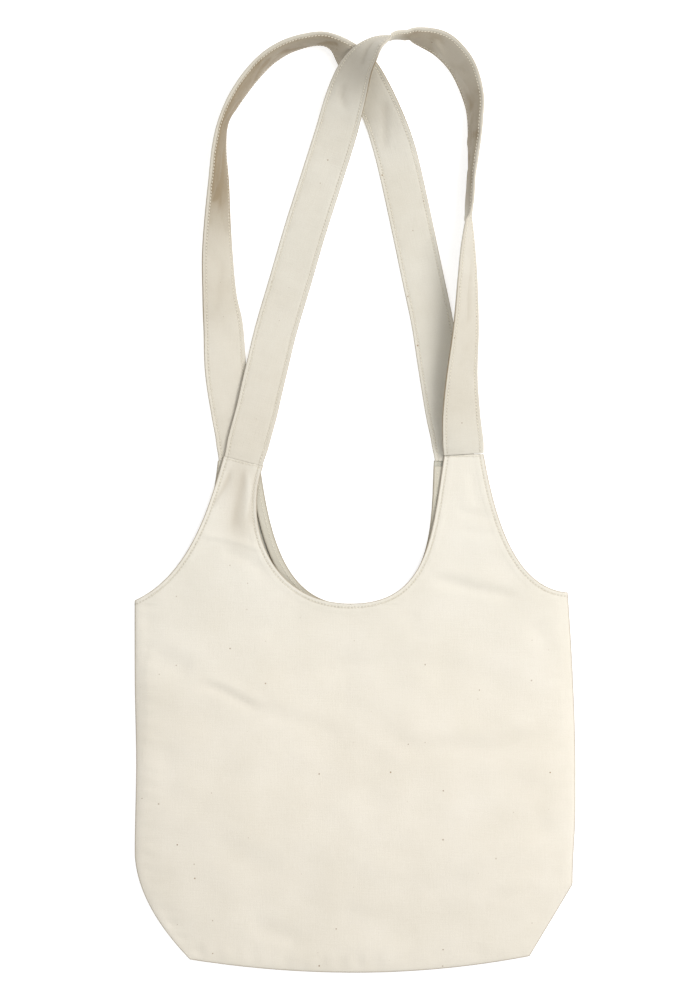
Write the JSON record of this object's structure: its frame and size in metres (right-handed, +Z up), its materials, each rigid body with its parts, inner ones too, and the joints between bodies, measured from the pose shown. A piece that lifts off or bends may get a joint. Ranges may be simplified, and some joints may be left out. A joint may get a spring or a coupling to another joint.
{
  "type": "shoulder picking bag",
  "caption": "Unbleached cotton canvas picking bag with an open neck, tucked base corners and long sewn shoulder straps that overlap, laid flat on its back.",
  "frame": {"origin": "underside of the back panel, on the centre line of the body, level with the middle of the empty bag's body", "axes": "+Z up out of the front panel, +Y from the base line towards the strap loops, +X to the right seen from the front"},
  "size_m": [0.4, 0.8581, 0.0672],
  "materials": {
    "front_canvas": "plain woven natural cotton, matt",
    "back_canvas": "plain woven natural cotton, matt",
    "strap_canvas": "double plain woven natural cotton, matt",
    "seam_canvas": "folded natural cotton, matt",
    "cotton_thread": "cream sewing thread, matt"
  },
  "bodies": {
    "bag": {"front_panel": "front_canvas", "back_panel": "back_canvas", "left_side_seam": "seam_canvas", "right_side_seam": "seam_canvas", "bottom_seam": "seam_canvas", "left_corner_tuck": "seam_canvas", "right_corner_tuck": "seam_canvas", "front_neck_hem": "seam_canvas", "back_neck_hem": "seam_canvas", "front_left_armhole_hem": "seam_canvas", "front_right_armhole_hem": "seam_canvas", "back_left_armhole_hem": "seam_canvas", "back_right_armhole_hem": "seam_canvas", "front_neck_stitching": "cotton_thread", "back_neck_stitching": "cotton_thread", "front_armhole_stitching": "cotton_thread", "back_armhole_stitching": "cotton_thread", "front_strap_seams": "cotton_thread", "back_strap_seams": "cotton_thread"},
    "back_strap_loop": {"back_strap": "strap_canvas", "back_strap_stitching": "cotton_thread"},
    "front_strap_loop": {"front_strap": "strap_canvas", "front_strap_stitching": "cotton_thread"}
  },
  "joints": [
    {"name": "back_strap_lift", "type": "hinge", "parent": "bag", "child": "back_strap_loop", "pos_m": [0, 0.295, 0.0066], "axis": [1, 0, 0], "range_deg": [0, 80]},
    {"name": "front_strap_lift", "type": "hinge", "parent": "back_strap_loop", "child": "front_strap_loop", "pos_m": [0, 0.295, 0.0066], "axis": [1, 0, 0], "range_deg": [0, 70]}
  ]
}
